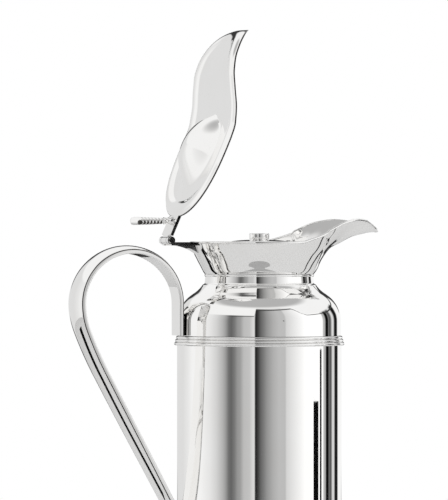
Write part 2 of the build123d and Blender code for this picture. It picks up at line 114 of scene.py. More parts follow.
def finish_mesh(name, build, materials, crease=32.0):
    """A mesh object in metres from a bmesh in millimetres; edges sharper than crease degrees stay sharp."""
    bmesh.ops.remove_doubles(build, verts=build.verts, dist=WELD)
    bmesh.ops.recalc_face_normals(build, faces=build.faces)
    bmesh.ops.scale(build, vec=(MM, MM, MM), verts=build.verts)
    for face in build.faces:
        face.smooth = True
    mesh = bpy.data.meshes.new(name)
    build.to_mesh(mesh)
    build.free()
    mesh.set_sharp_from_angle(angle=math.radians(crease))
    for material in materials:
        mesh.materials.append(material)
    return add_object(name, mesh)


def add_grid(build, rows, close_rows=False, close_across=False):
    """Quads over a table of points; close_rows joins the last row to the first."""
    verts = [[build.verts.new(point) for point in row] for row in rows]
    count, width = len(verts), len(verts[0])
    for i in range(count if close_rows else count - 1):
        for j in range(width if close_across else width - 1):
            corners = [verts[i][j], verts[i][(j + 1) % width],
                       verts[(i + 1) % count][(j + 1) % width], verts[(i + 1) % count][j]]
            build.faces.new(corners)
    return verts


def add_tube(build, rings):
    """A tube over rings of points, closed at both ends."""
    rows = add_grid(build, rings, close_across=True)
    build.faces.new(rows[0])
    build.faces.new(rows[-1])


def paint_shade_columns(build, across, columns):
    """Gives a grid's faces in some of its columns the mesh's second material, a dark silver that is painted
    shade.
    """
    build.faces.ensure_lookup_table()
    for number, face in enumerate(build.faces):
        face.material_index = int(number % across in columns)


def smooth_line(points, count):
    """Points along a smooth curve (centripetal Catmull-Rom) through the given points, evenly shared."""
    known = [np.array(p, float) for p in points]
    known = [2 * known[0] - known[1]] + known + [2 * known[-1] - known[-2]]
    out = []
    spans = len(points) - 1
    for step in range(count):
        place = step / (count - 1) * spans
        k = min(int(place), spans - 1)
        t = place - k
        p0, p1, p2, p3 = known[k:k + 4]
        gap = [max(np.linalg.norm(b - a), 1e-6) ** 0.5 for a, b in ((p0, p1), (p1, p2), (p2, p3))]
        m1 = (p2 - p1) + gap[1] * ((p1 - p0) / gap[0] - (p2 - p0) / (gap[0] + gap[1]))
        m2 = (p2 - p1) + gap[1] * ((p3 - p2) / gap[2] - (p3 - p1) / (gap[1] + gap[2]))
        a = 2 * (p1 - p2) + m1 + m2
        b = -3 * (p1 - p2) - 2 * m1 - m2
        out.append(a * t ** 3 + b * t ** 2 + m1 * t + p1)
    return out


def read_line(points, x):
    """The height of a smooth curve through (x, y) points, by monotone cubic interpolation."""
    xs = [p[0] for p in points]
    ys = [p[1] for p in points]
    if x <= xs[0]:
        return ys[0]
    if x >= xs[-1]:
        return ys[-1]
    slopes = [(ys[i + 1] - ys[i]) / (xs[i + 1] - xs[i]) for i in range(len(xs) - 1)]
    tangents = [slopes[0]]
    for left, right in zip(slopes[:-1], slopes[1:]):
        tangents.append(0.0 if left * right <= 0 else 2 * left * right / (left + right))
    tangents.append(slopes[-1])
    k = max(i for i in range(len(xs) - 1) if xs[i] <= x)
    h = xs[k + 1] - xs[k]
    t = (x - xs[k]) / h
    return (ys[k] * (2 * t ** 3 - 3 * t ** 2 + 1) + tangents[k] * h * (t ** 3 - 2 * t ** 2 + t)
            + ys[k + 1] * (3 * t ** 2 - 2 * t ** 3) + tangents[k + 1] * h * (t ** 3 - t ** 2))


def arc(centre, radius, start, end, count):
    """Points on an arc, with angles in degrees from the direction of the first coordinate."""
    points = []
    for i in range(count):
        a = math.radians(start + (end - start) * i / (count - 1))
        points.append((centre[0] + radius * math.cos(a), centre[1] + radius * math.sin(a)))
    return points


def lathe(name, profile, material, crease=32.0):
    """A turned ring from its closed outline of (radius, height) points."""
    build = bmesh.new()
    rows = []
    for turn in range(TURNS):
        angle = 2 * math.pi * turn / TURNS
        rows.append([(r * math.cos(angle), r * math.sin(angle), z) for r, z in profile])
    add_grid(build, rows, close_rows=True, close_across=True)
    return finish_mesh(name, build, [material], crease)


# --- materials ---
def new_material(name):
    material = bpy.data.materials.new(name)
    material.use_nodes = True
    tree = material.node_tree
    return material, tree, tree.nodes["Principled BSDF"]


def noise(tree, scale, detail=3.0, stretch=(1, 1, 1), rough=0.5):
    """Object-space noise; stretch squeezes it along X, Y or Z."""
    place = tree.nodes.new("ShaderNodeTexCoord")
    mapping = tree.nodes.new("ShaderNodeMapping")
    mapping.inputs["Scale"].default_value = stretch
    texture = tree.nodes.new("ShaderNodeTexNoise")
    texture.inputs["Scale"].default_value = scale
    texture.inputs["Detail"].default_value = detail
    texture.inputs["Roughness"].default_value = rough
    tree.links.new(place.outputs["Object"], mapping.inputs["Vector"])
    tree.links.new(mapping.outputs["Vector"], texture.inputs["Vector"])
    return texture


def ramp(tree, source, stops):
    """A colour ramp on a socket; each stop is (place, colour or grey value)."""
    node = tree.nodes.new("ShaderNodeValToRGB")
    elements = node.color_ramp.elements
    while len(elements) > 1:
        elements.remove(elements[-1])
    for i, (place, value) in enumerate(stops):
        element = elements[0] if i == 0 else elements.new(place)
        element.position = place
        colour = value if isinstance(value, tuple) else (value, value, value)
        element.color = (*colour, 1.0)
    tree.links.new(source, node.inputs["Fac"])
    return node.outputs["Color"]


def paint(tree, shader, socket, texture, stops):
    """Drives a socket of the shader by a texture, through a ramp."""
    tree.links.new(ramp(tree, texture.outputs["Fac"], stops), shader.inputs[socket])


def bump(tree, shader, texture, strength, distance):
    node = tree.nodes.new("ShaderNodeBump")
    node.inputs["Strength"].default_value = strength
    node.inputs["Distance"].default_value = distance
    tree.links.new(texture.outputs["Fac"], node.inputs["Height"])
    tree.links.new(node.outputs["Normal"], shader.inputs["Normal"])


SILVER_TONES = ((0.955, 0.948, 0.935), (0.975, 0.972, 0.965))
SILVER_ROUGH = (0.015, 0.05)
# Tones and roughness of a dark silver used as painted shade and painted dark reflections on the lid's lip,
# the handle's outer corners and the thumbpiece's web.
PAINTED_SHADE_TONES = ((0.03, 0.028, 0.026), (0.10, 0.095, 0.09))
PAINTED_SHADE_ROUGH = (0.25, 0.45)


def make_silver(name, ripple, rough=SILVER_ROUGH, tones=SILVER_TONES):
    """Silver plate: faint polishing haze, a warm cast in its thinner places and a slow ripple."""
    material, tree, shader = new_material(name)
    shader.inputs["Metallic"].default_value = 1.0
    haze = noise(tree, 34.0, detail=5.0)
    paint(tree, shader, "Base Color", haze, [(0.3, tones[0]), (0.7, tones[1])])
    smear = noise(tree, 90.0, detail=4.0, stretch=(1, 1, 0.35))
    paint(tree, shader, "Roughness", smear, [(0.35, rough[0]), (0.75, rough[1])])
    wave = noise(tree, 16.0, detail=1.0)
    bump(tree, shader, wave, ripple, 0.002)
    return material


def make_plastic(name, colour, worn):
    """Moulded plastic with a fine spark-eroded grain and paler, drier patches."""
    material, tree, shader = new_material(name)
    patches = noise(tree, 60.0, detail=4.0)
    paint(tree, shader, "Base Color", patches, [(0.35, colour), (0.75, worn)])
    grain = noise(tree, 2600.0, detail=2.0)
    paint(tree, shader, "Roughness", grain, [(0.3, 0.38), (0.7, 0.55)])
    bump(tree, shader, grain, 0.25, 0.0002)
    return material


def make_brass(name):
    """Turned brass with fine tool rings and a dulled, darker oxide in patches."""
    material, tree, shader = new_material(name)
    shader.inputs["Metallic"].default_value = 1.0
    oxide = noise(tree, 45.0, detail=6.0, rough=0.65)
    paint(tree, shader, "Base Color", oxide, [(0.35, (0.42, 0.29, 0.12)), (0.65, (0.76, 0.58, 0.27))])
    rings = noise(tree, 500.0, detail=2.0, stretch=(0.05, 0.05, 3.0))
    paint(tree, shader, "Roughness", rings, [(0.3, 0.22), (0.7, 0.42)])
    bump(tree, shader, rings, 0.2, 0.0001)
    return material


def make_flask_glass(name):
    """Silvered glass: a mirror behind glass, with faint draw lines and cloudy places in the silvering."""
    material, tree, shader = new_material(name)
    shader.inputs["Metallic"].default_value = 1.0
    shader.inputs["Coat Weight"].default_value = 0.6
    shader.inputs["Coat Roughness"].default_value = 0.02
    cloud = noise(tree, 22.0, detail=5.0)
    paint(tree, shader, "Base Color", cloud, [(0.3, (0.72, 0.76, 0.78)), (0.7, (0.88, 0.9, 0.9))])
    lines = noise(tree, 120.0, detail=1.0, stretch=(1, 1, 0.1))
    paint(tree, shader, "Roughness", lines, [(0.3, 0.03), (0.7, 0.1)])
    bump(tree, shader, lines, 0.1, 0.0005)
    return material


def make_fibre(name):
    """Pressed grey fibre with short matted strands."""
    material, tree, shader = new_material(name)
    mat = noise(tree, 900.0, detail=6.0, stretch=(1, 1, 4), rough=0.7)
    paint(tree, shader, "Base Color", mat, [(0.3, (0.34, 0.33, 0.31)), (0.7, (0.66, 0.65, 0.61))])
    shader.inputs["Roughness"].default_value = 0.95
    bump(tree, shader, mat, 0.6, 0.0006)
    return material


SILVER_BODY = make_silver("silver_body", 0.02)
SILVER_CAST = make_silver("silver_cast", 0.012)
SILVER_LID = make_silver("silver_lid", 0.015, rough=(0.02, 0.07))
# Painted shade: a dark copy of the silver for dark edge lines and the shade between parts.
SILVER_PAINTED_SHADE = make_silver("silver_painted_shade", 0.02, rough=PAINTED_SHADE_ROUGH, tones=PAINTED_SHADE_TONES)
BRASS = make_brass("turned_brass")
FLASK_GLASS = make_flask_glass("silvered_glass")
FIBRE = make_fibre("pressed_fibre")
RUBBER = make_plastic("black_rubber", (0.018, 0.018, 0.018), (0.04, 0.04, 0.038))
DARK_PLASTIC = make_plastic("dark_plastic", (0.035, 0.035, 0.038), (0.06, 0.06, 0.062))


# --- studio: a white room, with the tones that the silver mirrors painted round it ---
CAMERA_AZIMUTH = math.radians(-18.0)
CAMERA_DISTANCE = 3.0
CAMERA_HEIGHT = 0.2446
CAMERA_SIDE = -0.0236
CAMERA_LENS = 323.0

# Brightness round the horizon by the angle from the camera, negative to its left and positive to its right.
LEFT_TONES = [
    (-180, 0.74), (-135, 0.74), (-120, 0.82), (-109, 0.92), (-90, 0.92), (-73, 0.80), (-63, 0.67),
    (-53, 0.47), (-49, 0.36), (-44, 0.17), (-40, 0.13), (-35, 0.20), (-31, 0.31), (-27, 0.35), (-22, 0.52),
    (-14, 0.56), (-9, 0.72), (-7.2, 0.72), (-6.2, 0.02), (-4.5, 0.02), (-1, 0.07), (0, 0.10)]
RIGHT_TONES = [
    (0, 0.10), (2, 0.14), (6, 0.21), (10, 0.30), (19, 0.44), (27, 0.52), (36, 0.52), (38, 0.68), (49, 0.82),
    (59, 0.95), (66, 1.05), (100, 1.05), (102, 0.5), (106, 0.4), (107.5, 0.004), (113, 0.004), (114.5, 0.2),
    (118, 0.06), (121, 0.2), (125, 0.8), (129, 0.6), (132, 0.01), (141, 0.01), (145, 0.95), (180, 0.95)]

# The rest of the room. A height is the sine of an elevation. A turn is a share of the half turn from the
# camera, positive to its right. Each pair is where a soft edge begins and ends.
CEILING = (0.35, 0.41)  # heights where the tones give way to the bright ceiling
CEILING_TONE = 0.92
ZENITH = (0.74, 0.86)  # heights where the ceiling falls off to a grey overhead
ZENITH_TONE = 0.46
RAISED_FROM = (-0.045, -0.035)  # turns between which everything reaches higher on the wall
RAISED_TO = (0.30, 0.42)
RAISED_BY = 0.36
CORNICE_LOW = (0.30, 0.315)  # heights between which a thin dark moulding runs
CORNICE_HIGH = (0.335, 0.35)
CORNICE_START = (-0.30, -0.22)  # turns where it begins, on the left
CORNICE_TONE = 0.05
SCREEN_TURN = (0.895, 0.912)  # turn, to either side, past which dark screens stand behind the jug
SCREEN_NEAR = (0.045, 0.07)  # their heights above and below the horizon
SCREEN_FAR = (0.30, 0.36)
SCREEN_TONE = 0.04

# Floor, light and cards, in metres, with angles in degrees from the camera's direction. Only the silver sees
# the cards, which stand for a grey table and the dark things on and beside it.
FLOOR_R = 1.15
FLOOR_DROP = 0.0006
LIGHT_SIZE = 1.6
LIGHT_POWER = 14.0
LIGHT_PLACE = (0.1, -0.2, 1.7)
DARK_TONE = 0.004
TABLE_R = 1.13
TABLE_TONE = 0.66
TABLE_LIFT = 0.001
STRIP_LIFT = 0.002
# Angle, start, end and half spread of each strip that lies on the table.
TABLE_STRIPS = [(-119, 0.2, 0.74, 4.5), (-104, 0.25, 0.74, 0.8), (112, 0.2, 0.74, 1.5), (128, 0.2, 0.74, 2.0)]
# A rounded darker place in front of the jug.
SHADE_NEAR = 0.175
SHADE_FAR = 0.209
SHADE_SPREAD = 55
SHADE_STEPS = 21
SHADE_FULLNESS = 0.6  # less for a squarer far edge
SHADE_TONE = 0.38
# Angle, distance, width and height of each standing card.
SIDE_CARDS = [(82.0, 0.54, 0.085, 0.128), (91.0, 0.54, 0.032, 0.168)]
HINGE_FACE = Vector((PIN_X + 9.0, -4.0, PIN_Z + 8.0)) * MM  # middle of the hinge's near side
HINGE_CARD_AWAY = 1.5
HINGE_CARD_HALF = 0.026

MIX_A = 6  # the colour sockets of a Mix node
MIX_B = 7
MIX_RESULT = 2


def make_camera():
    data = bpy.data.cameras.new("camera")
    camera = add_object("camera", data)
    data.lens = CAMERA_LENS
    data.clip_end = 50.0
    forward = Vector((-math.sin(CAMERA_AZIMUTH), math.cos(CAMERA_AZIMUTH), 0.0))
    right = Vector((math.cos(CAMERA_AZIMUTH), math.sin(CAMERA_AZIMUTH), 0.0))
    camera.location = right * CAMERA_SIDE - forward * CAMERA_DISTANCE + Vector((0, 0, CAMERA_HEIGHT))
    camera.rotation_mode = "QUATERNION"
    camera.rotation_quaternion = forward.to_track_quat("-Z", "Y")
    bpy.context.scene.camera = camera


def math_node(tree, operation, *values):
    node = tree.nodes.new("ShaderNodeMath")
    node.operation = operation
    for socket, value in zip(node.inputs, values):
        if isinstance(value, (int, float)):
            socket.default_value = value
        else:
            tree.links.new(value, socket)
    return node.outputs[0]


def soft_step(tree, source, low, high):
    """0 below low, 1 above high and a smooth rise between."""
    node = tree.nodes.new("ShaderNodeMapRange")
    node.interpolation_type = "SMOOTHSTEP"
    node.inputs["From Min"].default_value = low
    node.inputs["From Max"].default_value = high
    tree.links.new(source, node.inputs["Value"])
    return node.outputs["Result"]


def soft_band(tree, source, rise, fall):
    """1 between two soft edges and 0 beyond them."""
    return math_node(tree, "SUBTRACT", soft_step(tree, source, *rise), soft_step(tree, source, *fall))


def mix_colours(tree, factor, first, second):
    """A colour mix; each colour is a socket or a grey value."""
    node = tree.nodes.new("ShaderNodeMix")
    node.data_type = "RGBA"
    tree.links.new(factor, node.inputs["Factor"])
    for socket, value in ((node.inputs[MIX_A], first), (node.inputs[MIX_B], second)):
        if isinstance(value, (int, float)):
            socket.default_value = (value, value, value, 1.0)
        else:
            tree.links.new(value, socket)
    return node.outputs[MIX_RESULT]


def make_room():
    """The world: plain white where the camera looks at it, and the room's tones for light and reflections."""
    world = bpy.data.worlds.new("room")
    bpy.context.scene.world = world
    world.use_nodes = True
    tree = world.node_tree
    background = tree.nodes["Background"]
    place = tree.nodes.new("ShaderNodeTexCoord")
    turned = tree.nodes.new("ShaderNodeMapping")
    turned.inputs["Rotation"].default_value = (0.0, 0.0, -CAMERA_AZIMUTH)
    tree.links.new(place.outputs["Generated"], turned.inputs["Vector"])
    parts = tree.nodes.new("ShaderNodeSeparateXYZ")
    tree.links.new(turned.outputs["Vector"], parts.inputs["Vector"])
    x, y, z = parts.outputs
    angle = math_node(tree, "ARCTAN2", x, math_node(tree, "MULTIPLY", y, -1.0))
    turn = math_node(tree, "DIVIDE", angle, math.pi)
    left = ramp(tree, math_node(tree, "ADD", turn, 1.0), [(a / 180 + 1.0, v) for a, v in LEFT_TONES])
    right = ramp(tree, turn, [(a / 180, v) for a, v in RIGHT_TONES])
    colour = mix_colours(tree, math_node(tree, "GREATER_THAN", turn, 0.0), left, right)

    raised = soft_band(tree, turn, RAISED_FROM, RAISED_TO)
    height = math_node(tree, "SUBTRACT", z, math_node(tree, "MULTIPLY", raised, RAISED_BY))
    colour = mix_colours(tree, soft_step(tree, height, *CEILING), colour, CEILING_TONE)
    colour = mix_colours(tree, soft_step(tree, z, *ZENITH), colour, ZENITH_TONE)

    moulding = soft_band(tree, height, CORNICE_LOW, CORNICE_HIGH)
    moulding = math_node(tree, "MULTIPLY", moulding, soft_step(tree, turn, *CORNICE_START))
    colour = mix_colours(tree, moulding, colour, CORNICE_TONE)

    level = math_node(tree, "ABSOLUTE", z)
    screen = soft_step(tree, math_node(tree, "ABSOLUTE", turn), *SCREEN_TURN)
    screen = math_node(tree, "MULTIPLY", screen, soft_step(tree, level, *SCREEN_NEAR))
    below_top = math_node(tree, "SUBTRACT", 1.0, soft_step(tree, level, *SCREEN_FAR))
    screen = math_node(tree, "MULTIPLY", screen, below_top)
    colour = mix_colours(tree, screen, colour, SCREEN_TONE)

    path = tree.nodes.new("ShaderNodeLightPath")
    colour = mix_colours(tree, path.outputs["Is Camera Ray"], colour, 1.0)
    tree.links.new(colour, background.inputs["Color"])


def make_floor():
    """A plain white floor, round so that its edge stays below the picture."""
    build = bmesh.new()
    bmesh.ops.create_circle(build, cap_ends=True, segments=128, radius=FLOOR_R)
    mesh = bpy.data.meshes.new("floor")
    build.to_mesh(mesh)
    build.free()
    floor = add_object("floor", mesh)
    floor.location.z = -FLOOR_DROP
    material, tree, shader = new_material("floor_white")
    fleck = noise(tree, 12.0, detail=3.0)
    paint(tree, shader, "Base Color", fleck, [(0.3, 0.86), (0.7, 0.9)])
    shader.inputs["Roughness"].default_value = 0.85
    mesh.materials.append(material)


def make_lights():
    """A broad soft light over the jug, for the floor and the tops of the turned edges."""
    data = bpy.data.lights.new("overhead", "AREA")
    data.shape = "DISK"
    data.size = LIGHT_SIZE
    data.energy = LIGHT_POWER
    light = add_object("overhead", data)
    light.location = LIGHT_PLACE
    light.visible_glossy = False


def make_card(name, corners, tone):
    """A card beside the jug that only the silver sees."""
    mesh = bpy.data.meshes.new(name)
    mesh.from_pydata(corners, [], [tuple(range(len(corners)))])
    card = add_object(name, mesh)
    material, _, shader = new_material(name)
    shader.inputs["Base Color"].default_value = (tone, tone, tone, 1.0)
    shader.inputs["Roughness"].default_value = 1.0
    shader.inputs["Specular IOR Level"].default_value = 0.0
    mesh.materials.append(material)
    card.visible_camera = False
    card.visible_shadow = False
    card.visible_diffuse = False


def from_camera(angle, distance, height):
    """A point at an angle from the camera's direction, positive to its right."""
    a = CAMERA_AZIMUTH + math.radians(angle)
    return Vector((math.sin(a) * distance, -math.cos(a) * distance, height))


def make_standing_card(name, angle, distance, width, high):
    """A dark upright card that faces the jug."""
    half = math.degrees(width / 2 / distance)
    near, far = from_camera(angle - half, distance, 0.0), from_camera(angle + half, distance, 0.0)
    top = Vector((0.0, 0.0, high))
    make_card(name, [near, far, far + top, near + top], DARK_TONE)


def make_lying_strip(name, angle, start, end, spread):
    """A dark strip on the table, running out from the jug."""
    left, right = angle - spread, angle + spread
    corners = [from_camera(a, distance, STRIP_LIFT)
               for a, distance in ((left, start), (left, end), (right, end), (right, start))]
    make_card(name, corners, DARK_TONE)


def make_hinge_card():
    """A small dark card that the flat sides of the hinge mirror back to the camera."""
    sight = HINGE_FACE - bpy.context.scene.camera.location
    middle = HINGE_FACE + Vector((sight.x, -sight.y, sight.z)).normalized() * HINGE_CARD_AWAY
    across = Vector((math.cos(CAMERA_AZIMUTH), -math.sin(CAMERA_AZIMUTH), 0.0)) * HINGE_CARD_HALF
    rise = Vector((0.0, 0.0, HINGE_CARD_HALF))
    corners = [middle - across - rise, middle + across - rise, middle + across + rise, middle - across + rise]
    make_card("hinge_card", corners, DARK_TONE)


def make_table():
    """The grey table top, a darker place on it, its dark strips and the cards that stand beside it."""
    make_card("table_tone", [from_camera(a, TABLE_R, TABLE_LIFT) for a in range(0, 360, 5)], TABLE_TONE)
    shares = np.linspace(-1.0, 1.0, SHADE_STEPS)
    reach = [SHADE_NEAR + (SHADE_FAR - SHADE_NEAR) * (1 - a * a) ** SHADE_FULLNESS for a in shares]
    far = [from_camera(a * SHADE_SPREAD, r, STRIP_LIFT) for a, r in zip(shares, reach)]
    near = [from_camera(a * SHADE_SPREAD, SHADE_NEAR * 0.9, STRIP_LIFT) for a in shares[::-1]]
    make_card("table_shade", far + near, SHADE_TONE)
    for number, strip in enumerate(TABLE_STRIPS):
        make_lying_strip(f"table_strip_{number}", *strip)
    for number, card in enumerate(SIDE_CARDS):
        make_standing_card(f"side_card_{number}", *card)


make_camera()
make_room()
make_floor()
make_lights()
make_table()
make_hinge_card()
bpy.context.scene.view_settings.view_transform = "Standard"


# --- turned pieces of the body ---
SEAM_R = BODY_R + HAIR
ROUND = 0.35  # small radius that breaks a turned edge


def make_body_shell():
    """The straight wall: a plain sheet tube with its lower edge rolled under."""
    top = BAND_LOW + REED_PITCH
    inner = BODY_R - SHELL_T
    steps = 24
    outline = arc((BODY_R - ROUND, BODY_LOW + ROUND), ROUND, -90, 0, 5)
    outline += [(BODY_R, BODY_LOW + (top - BODY_LOW) * step / steps) for step in range(1, steps + 1)]
    outline += [(inner, top), (inner, BODY_LOW + ROUND)]
    return lathe("body_shell_looks", outline, SILVER_BODY)


SHOULDER_WALL_Z = 196.0  # top of the shoulder's short upright wall
SHOULDER = [
    (54.6, SHOULDER_WALL_Z), (54.45, 199.6), (53.7, 203.2), (51.6, 207.9), (48.5, 211.9), (45.4, 214.5),
    (42.4, 216.6), (40.0, 218.8), (38.3, 220.8), (37.5, 221.6), (36.7, 222.2), (36.4, 224.0),
    (36.1, NECK_Z - 1.6)]
STEP_Z = 221.3  # a fine turned step where the cove meets the neck: its height, rise and half width
STEP_RISE = 0.22
STEP_HALF = 0.45
BEAD_R = 0.95  # the small ring under the mouth
BEAD_PLACE = (NECK_R - 0.1, NECK_Z - 0.85)


def make_shoulder_shell():
    """The shoulder: a short wall, a round, then a cove up to a fine step and the neck's ring."""
    low = BAND_HIGH + 0.2
    steps = 5
    outer = [(SHOULDER_R, low + (SHOULDER_WALL_Z - low) * step / steps) for step in range(steps)]
    curve = smooth_line([(SHOULDER_R, SHOULDER_WALL_Z - 6.0)] + SHOULDER, 110)
    outer += [tuple(p) for p in curve if p[1] > SHOULDER_WALL_Z]
    stepped = [(r + STEP_RISE * math.exp(-((z - STEP_Z) / STEP_HALF) ** 2), z) for r, z in outer]
    ring = arc(BEAD_PLACE, BEAD_R, -75, 75, 13)
    inner = [(r - SHELL_T, z) for r, z in reversed(outer)]
    outline = stepped + ring + [(NECK_R - SHELL_T, NECK_Z)] + inner
    return lathe("shoulder_looks", outline, SILVER_BODY, crease=40.0)


def reed_rings(low, outs, pitch, hollow):
    """The outline of a stack of half-round reeds, with the sharp hollows between them cut in a little."""
    outline = []
    for k, out in enumerate(outs):
        centre = (out - pitch / 2, low + pitch * (k + 0.5))
        outline += arc(centre, pitch / 2, -82, 82, 17)
        if k < len(outs) - 1:
            outline.append((min(out, outs[k + 1]) - pitch / 2 - hollow, low + pitch * (k + 1)))
    return outline


BAND_STEP = 0.6  # each reed of the band is this much narrower than the one below
BAND_HOLLOW = 0.25
BAND_SEAT = 1.6  # where the shoulder sits in the band, in reeds from the bottom
FOOT_STEP = 0.5
FOOT_HOLLOW = 0.2
FOOT_BORE_R = 52.0
FOOT_CHAMFER = 0.25


def make_reeded_band():
    """Three reeds stacked between the wall and the shoulder, each a little narrower than the one below."""
    outs = [BAND_R - BAND_STEP * k for k in range(REEDS)]
    seat = BAND_LOW + BAND_SEAT * REED_PITCH
    outline = [(SEAM_R, BAND_LOW + HAIR)] + reed_rings(BAND_LOW, outs, REED_PITCH, BAND_HOLLOW)
    outline += [(SHOULDER_R + HAIR, BAND_HIGH - HAIR), (SHOULDER_R + HAIR, seat), (SEAM_R, seat)]
    return lathe("reeded_band_looks", outline, SILVER_CAST)


def make_foot_ring():
    """The foot: three larger reeds that widen to the resting edge, the lowest cut flat where it rests."""
    outs = [FOOT_R - FOOT_STEP * k for k in range(REEDS)]
    reeds = reed_rings(0.0, outs, FOOT_H / REEDS, FOOT_HOLLOW)
    outline = [(FOOT_BORE_R, FOOT_CHAMFER), (FOOT_BORE_R + FOOT_CHAMFER, 0.0), (FOOT_R - 1.0, 0.0)]
    outline += reeds[3:] + [(BODY_R - 0.4, FOOT_H), (FOOT_BORE_R, FOOT_H)]
    return lathe("foot_ring_looks", outline, SILVER_CAST)


# --- mouth and spout: a flared ring, drawn out into a spout along +X ---
FUNNEL = [
    (36.6, NECK_Z), (37.4, 229.8), (39.4, 233.6), (41.9, 238.4), (44.2, 243.2), (RIM_R, RIM_Z), (49.6, 258.0),
    (53.0, 267.0)]
FUNNEL_LOW_R = FUNNEL[0][0]
# The mouth's edge in side view: distance forward of the axis and height above the rim. The lid follows it,
# and then curls down in front of the spout's tip.
EDGE_BACK = [(8.0, 0.0), (16.0, 0.35), (23.0, 2.0), (30.0, 4.3), (40.5, 9.0), (52.4, 13.4), (62.0, 14.6)]
EDGE = EDGE_BACK + [(70.0, 13.6), (76.0, 11.0), (82.0, 8.0), (90.0, 4.0)]
LID_EDGE = EDGE_BACK + [(70.0, 13.8), (76.0, 12.2), (81.0, 9.8), (84.4, 7.0), (88.0, 1.5)]
# The keel under the spout, as shares of its reach and its height.
KEEL_SHAPE = [
    (0.0, 0.0), (0.033, 0.10), (0.075, 0.28), (0.145, 0.44), (0.236, 0.61), (0.398, 0.737), (0.50, 0.82),
    (0.60, 0.893), (0.747, 0.95), (0.859, 0.986), (1.0, 1.0)]
KEEL_EASE = 0.6  # how soon the spout's side takes on the keel's shape, going round from the crease
CREASE_LOW = math.radians(34.6)  # the crease between the flare and the spout, at the neck
CREASE_TOP = (37.0, 36.7)  # and at the edge, in plan
CREASE_FADE = 5  # the crease's extra width fades out over one part in this many of the flare
SPOUT_TIP_X = 84.2
# The spout's side in plan, carried on a little past the crease and the tip.
SPOUT_SIDE = [
    (31.0, 38.6), CREASE_TOP, (43.0, 35.2), (50.0, 32.4), (60.0, 26.8), (70.0, 19.2), (77.0, 12.2),
    (81.9, 6.0), (SPOUT_TIP_X, 0.0), (81.9, -6.0)]
SPOUT_CROWDING = 1.35  # how much closer the spout's columns stand near its tip
RIM_BEAD = 0.95  # radius of the bead rolled along the edge
BEAD_START = -38  # where the bead leaves the outer face and how far it turns, in degrees
BEAD_TURN = 256
BEAD_STEPS = 16
SPOUT_COLUMNS = 72
FLARE_COLUMNS = 150
MOUTH_ROWS = 46
TINY = 1e-9  # keeps a division off zero


def edge_height(x):
    return read_line(EDGE, x)


def funnel_radius(z):
    return read_line([(h, r) for r, h in FUNNEL], z)


def flare_column(angle):
    """Points up the flare at one angle, from the neck to the edge."""
    top = RIM_Z
    for _ in range(12):
        top = RIM_Z + edge_height(funnel_radius(top) * math.cos(angle))
    column = []
    for row in range(MOUTH_ROWS):
        z = NECK_Z + (top - NECK_Z) * row / (MOUTH_ROWS - 1)
        r = funnel_radius(z)
        column.append(Vector((r * math.cos(angle), r * math.sin(angle), z)))
    return column


def spout_edge():
    """The spout's top edge in plan, a point for each column from the crease on the +Y side to the tip."""
    dense = [tuple(p) for p in smooth_line(SPOUT_SIDE, 400)]
    dense = [p for p in dense if p[1] >= -0.02 and p[0] >= CREASE_TOP[0]]
    lengths = np.concatenate([[0.0], np.cumsum([math.dist(a, b) for a, b in zip(dense[:-1], dense[1:])])])
    out = []
    for k in range(SPOUT_COLUMNS):
        share = 1.0 - (1.0 - k / (SPOUT_COLUMNS - 1)) ** SPOUT_CROWDING
        place = share * lengths[-1]
        out.append((float(np.interp(place, lengths, [p[0] for p in dense])),
                    float(np.interp(place, lengths, [p[1] for p in dense]))))
    out[-1] = (SPOUT_TIP_X, 0.0)
    return out


def spout_column(share, plan, flare_shape, keel_shape):
    """Points up the spout's side: share 0 is the crease, 1 is the keel."""
    angle = CREASE_LOW * (1.0 - share)
    low = Vector((FUNNEL_LOW_R * math.cos(angle), FUNNEL_LOW_R * math.sin(angle), NECK_Z))
    high = Vector((plan[0], plan[1], RIM_Z + edge_height(plan[0])))
    keel_part = share ** KEEL_EASE
    reach = high - low
    column = []
    for (qa, ha), (qb, hb) in zip(flare_shape, keel_shape):
        q = qa + (qb - qa) * keel_part
        h = ha + (hb - ha) * keel_part
        column.append(Vector((low.x + reach.x * q, low.y + reach.y * q, low.z + reach.z * h)))
    return column


def crease_shape():
    """The flare's shape up the crease, as shares of its reach and height."""
    top_z = RIM_Z + edge_height(CREASE_TOP[0])
    shape = []
    for row in range(MOUTH_ROWS):
        h = row / (MOUTH_ROWS - 1)
        z = NECK_Z + (top_z - NECK_Z) * h
        q = (funnel_radius(z) - FUNNEL_LOW_R) / (funnel_radius(top_z) - FUNNEL_LOW_R)
        shape.append((q, h))
    return shape


def leaning_column(share):
    """Points up the flare that lean with the crease: share 0 is the crease, 1 is the back."""
    angle_top = math.atan2(CREASE_TOP[1], CREASE_TOP[0])
    low = CREASE_LOW + (math.pi - CREASE_LOW) * share
    high = angle_top + (math.pi - angle_top) * share
    upright_low = flare_column(low)
    upright_high = flare_column(high)
    top_z = RIM_Z + edge_height(CREASE_TOP[0])
    fade = max(0.0, 1.0 - share * CREASE_FADE) ** 2
    stretch = 1.0 + (math.hypot(*CREASE_TOP) / funnel_radius(top_z) - 1.0) * fade
    column = []
    for row in range(MOUTH_ROWS):
        t = row / (MOUTH_ROWS - 1)
        angle = low + (high - low) * t
        z = upright_low[row].z + (upright_high[row].z - upright_low[row].z) * t
        r = funnel_radius(z) * (1.0 + (stretch - 1.0) * t)
        column.append(Vector((r * math.cos(angle), r * math.sin(angle), z)))
    return column


def mouth_columns():
    """All columns of the outer face, round the mouth from the tip by +Y and the back to the tip again."""
    crease = crease_shape()
    keel = smooth_line(KEEL_SHAPE, MOUTH_ROWS)
    side = [spout_column(k / (SPOUT_COLUMNS - 1), plan, crease, keel) for k, plan in enumerate(spout_edge())]
    flare = [leaning_column(k / FLARE_COLUMNS) for k in range(1, FLARE_COLUMNS)]
    half = side[::-1] + flare
    mirrored = [[Vector((p.x, -p.y, p.z)) for p in column] for column in reversed(half[1:])]
    return half + [flare_column(math.pi)] + mirrored


